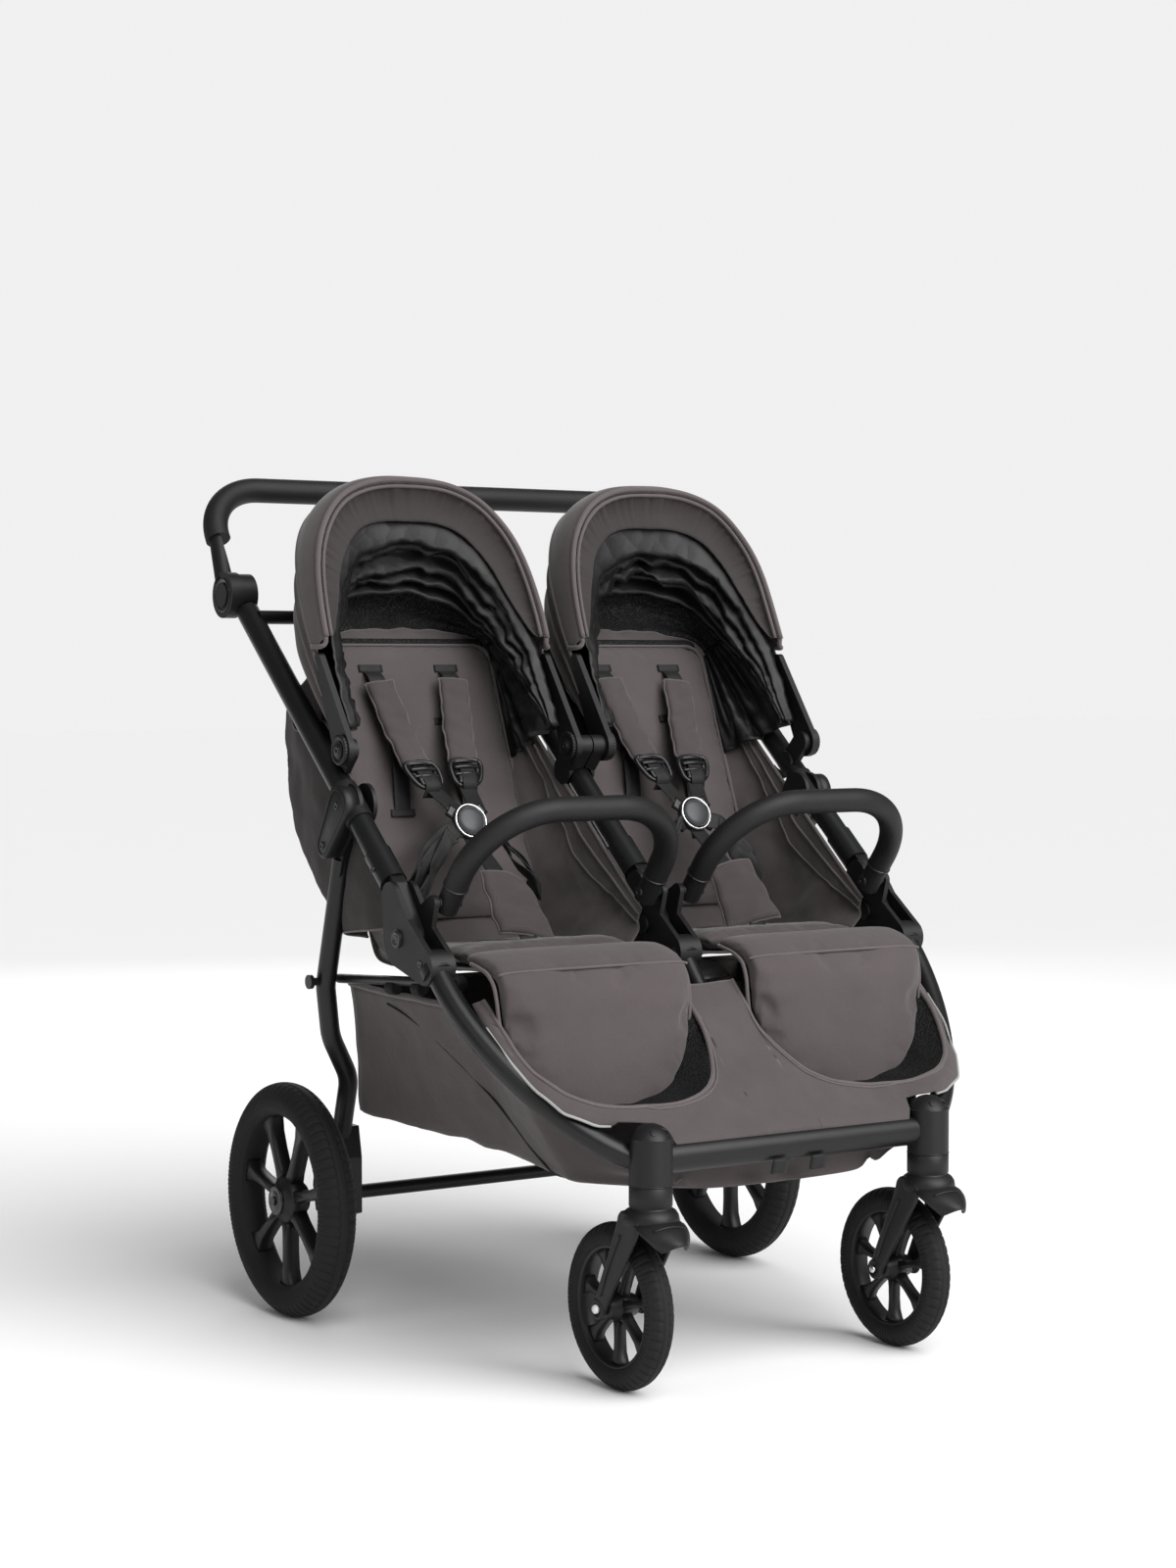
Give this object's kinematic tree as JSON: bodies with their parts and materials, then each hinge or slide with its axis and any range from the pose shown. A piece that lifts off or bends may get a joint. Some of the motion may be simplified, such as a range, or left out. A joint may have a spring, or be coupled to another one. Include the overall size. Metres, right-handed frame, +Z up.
{
  "type": "twin jogging stroller",
  "caption": "Side-by-side twin stroller with folding tube frame, swivel front casters, two seats, hinged canopies, bumper bars and basket.",
  "frame": {"origin": "on the floor under the middle of the stroller's bounding box", "axes": "+Z up, -Y towards the front wheels, +X to the left of the person pushing"},
  "size_m": [0.7538, 0.9165, 1.0855],
  "materials": {
    "frame_metal": "satin",
    "bracket_plastic": "fine grain",
    "pin_steel": "satin",
    "fabric": "woven polyester",
    "liner": "thin nylon",
    "webbing": "ribbed webbing",
    "buckle_plastic": "fine grain",
    "grip_foam": "leather-look foam",
    "rim_plastic": "moulded",
    "tyre": "matt"
  },
  "bodies": {
    "root": {"front_cross_tube": "frame_metal", "front_tube_centre": "frame_metal", "front_tube_left": "frame_metal", "front_tube_right": "frame_metal", "fold_bracket_left": "bracket_plastic", "fold_bracket_right": "bracket_plastic", "fold_bracket_centre": "bracket_plastic", "fold_pins": "pin_steel", "socket_caps": "bracket_plastic", "caster_sockets": "frame_metal", "apron": "fabric", "basket": "fabric"},
    "upper_frame": {"upper_tube_left": "frame_metal", "upper_tube_right": "frame_metal", "centre_frame": "frame_metal", "leg_bracket_left": "bracket_plastic", "leg_bracket_right": "bracket_plastic", "handle_hubs": "bracket_plastic", "seat_liner_left": "fabric", "seat_liner_right": "fabric", "canopy_shell_left": "liner", "canopy_shell_right": "liner", "canopy_mounts": "bracket_plastic"},
    "handle": {"handle_tube": "frame_metal", "handle_grip": "grip_foam"},
    "rear_frame": {"rear_leg_left": "frame_metal", "rear_leg_right": "frame_metal", "rear_axle": "frame_metal"},
    "side_struts": {"side_struts": "frame_metal"},
    "brake_pedal": {"brake_pedal": "bracket_plastic"},
    "calf_rest_left": {"calf_pad_left": "fabric"},
    "bumper_left": {"bumper_bar_left": "grip_foam"},
    "canopy_left": {"canopy_visor_left": "fabric", "canopy_hinge_left": "bracket_plastic"},
    "backrest_left": {"backrest_left": "fabric", "harness_left": "webbing", "buckle_left": "buckle_plastic"},
    "buckle_button_left": {"buckle_button_left": "buckle_plastic"},
    "hub_button_left": {"hub_button_left": "bracket_plastic"},
    "rear_wheel_left": {"rear_rim_left": "rim_plastic", "rear_tyre_left": "tyre"},
    "caster_left": {"caster_fork_left": "bracket_plastic"},
    "swivel_lock_left": {"swivel_lock_left": "bracket_plastic"},
    "front_wheel_left": {"front_rim_left": "rim_plastic", "front_tyre_left": "tyre"},
    "calf_rest_right": {"calf_pad_right": "fabric"},
    "bumper_right": {"bumper_bar_right": "grip_foam"},
    "canopy_right": {"canopy_visor_right": "fabric", "canopy_hinge_right": "bracket_plastic"},
    "backrest_right": {"backrest_right": "fabric", "harness_right": "webbing", "buckle_right": "buckle_plastic"},
    "buckle_button_right": {"buckle_button_right": "buckle_plastic"},
    "hub_button_right": {"hub_button_right": "bracket_plastic"},
    "rear_wheel_right": {"rear_rim_right": "rim_plastic", "rear_tyre_right": "tyre"},
    "caster_right": {"caster_fork_right": "bracket_plastic"},
    "swivel_lock_right": {"swivel_lock_right": "bracket_plastic"},
    "front_wheel_right": {"front_rim_right": "rim_plastic", "front_tyre_right": "tyre"}
  },
  "joints": [
    {"name": "fold", "type": "hinge", "parent": "root", "child": "upper_frame", "pos_m": [0, -0.11, 0.511], "axis": [1, 0, 0], "range_deg": [0, 90]},
    {"name": "leg_fold", "type": "hinge", "parent": "upper_frame", "child": "rear_frame", "pos_m": [0, 0.07, 0.612], "axis": [1, 0, 0], "range_deg": [-12, 0.5]},
    {"name": "strut_fold", "type": "hinge", "parent": "root", "child": "side_struts", "pos_m": [0, -0.168, 0.461], "axis": [1, 0, 0], "range_deg": [0, 66.5]},
    {"name": "handle_tilt", "type": "hinge", "parent": "upper_frame", "child": "handle", "pos_m": [0, 0.341, 0.925], "axis": [1, 0, 0], "range_deg": [-40, 30]},
    {"name": "brake_press", "type": "hinge", "parent": "rear_frame", "child": "brake_pedal", "pos_m": [0, 0.208, 0.15], "axis": [-1, 0, 0], "range_deg": [0, 22]},
    {"name": "canopy_left", "type": "hinge", "parent": "upper_frame", "child": "canopy_left", "pos_m": [0.189, 0.043, 0.73], "axis": [-1, 0, 0], "range_deg": [-65, 0]},
    {"name": "recline_left", "type": "hinge", "parent": "upper_frame", "child": "backrest_left", "pos_m": [0.177, 0.062, 0.47], "axis": [-1, 0, 0], "range_deg": [0, 28]},
    {"name": "buckle_press_left", "type": "slide", "parent": "backrest_left", "child": "buckle_button_left", "axis": [0, 0.9272, -0.3746], "range_m": [0, 0.003], "stiffness_N_per_m": 300},
    {"name": "hub_press_left", "type": "slide", "parent": "handle", "child": "hub_button_left", "axis": [-1, 0, 0], "range_m": [0, 0.004], "stiffness_N_per_m": 500},
    {"name": "calf_raise_left", "type": "hinge", "parent": "root", "child": "calf_rest_left", "pos_m": [0.177, -0.172, 0.495], "axis": [1, 0, 0], "range_deg": [-60, 0]},
    {"name": "bumper_fold_left", "type": "hinge", "parent": "root", "child": "bumper_left", "pos_m": [0.1745, -0.145, 0.555], "axis": [1, 0, 0], "range_deg": [0, 76]},
    {"name": "caster_swivel_left", "type": "hinge", "parent": "root", "child": "caster_left", "pos_m": [0.202, -0.401, 0.247], "axis": [0, 0, 1], "continuous": true},
    {"name": "swivel_lock_left", "type": "hinge", "parent": "caster_left", "child": "swivel_lock_left", "pos_m": [0.202, -0.424, 0.214], "axis": [-1, 0, 0], "range_deg": [-18, 0]},
    {"name": "front_spin_left", "type": "hinge", "parent": "caster_left", "child": "front_wheel_left", "pos_m": [0.202, -0.338, 0.097], "axis": [1, 0, 0], "continuous": true},
    {"name": "rear_spin_left", "type": "hinge", "parent": "rear_frame", "child": "rear_wheel_left", "pos_m": [0.347, 0.208, 0.15], "axis": [1, 0, 0], "continuous": true},
    {"name": "canopy_right", "type": "hinge", "parent": "upper_frame", "child": "canopy_right", "pos_m": [-0.189, 0.043, 0.73], "axis": [-1, 0, 0], "range_deg": [-65, 0]},
    {"name": "recline_right", "type": "hinge", "parent": "upper_frame", "child": "backrest_right", "pos_m": [-0.177, 0.062, 0.47], "axis": [-1, 0, 0], "range_deg": [0, 28]},
    {"name": "buckle_press_right", "type": "slide", "parent": "backrest_right", "child": "buckle_button_right", "axis": [0, 0.9272, -0.3746], "range_m": [0, 0.003], "stiffness_N_per_m": 300},
    {"name": "hub_press_right", "type": "slide", "parent": "handle", "child": "hub_button_right", "axis": [1, 0, 0], "range_m": [0, 0.004], "stiffness_N_per_m": 500},
    {"name": "calf_raise_right", "type": "hinge", "parent": "root", "child": "calf_rest_right", "pos_m": [-0.177, -0.172, 0.495], "axis": [1, 0, 0], "range_deg": [-60, 0]},
    {"name": "bumper_fold_right", "type": "hinge", "parent": "root", "child": "bumper_right", "pos_m": [-0.1745, -0.145, 0.555], "axis": [1, 0, 0], "range_deg": [0, 76]},
    {"name": "caster_swivel_right", "type": "hinge", "parent": "root", "child": "caster_right", "pos_m": [-0.202, -0.401, 0.247], "axis": [0, 0, 1], "continuous": true},
    {"name": "swivel_lock_right", "type": "hinge", "parent": "caster_right", "child": "swivel_lock_right", "pos_m": [-0.202, -0.424, 0.214], "axis": [-1, 0, 0], "range_deg": [-18, 0]},
    {"name": "front_spin_right", "type": "hinge", "parent": "caster_right", "child": "front_wheel_right", "pos_m": [-0.202, -0.338, 0.097], "axis": [1, 0, 0], "continuous": true},
    {"name": "rear_spin_right", "type": "hinge", "parent": "rear_frame", "child": "rear_wheel_right", "pos_m": [-0.347, 0.208, 0.15], "axis": [1, 0, 0], "continuous": true}
  ],
  "couplings": [
    {"joint": "leg_fold", "follows": "fold", "ratio": -0.11},
    {"joint": "strut_fold", "follows": "fold", "ratio": 0.73},
    {"joint": "bumper_fold_left", "follows": "fold", "ratio": 0.83},
    {"joint": "bumper_fold_right", "follows": "fold", "ratio": 0.83}
  ]
}
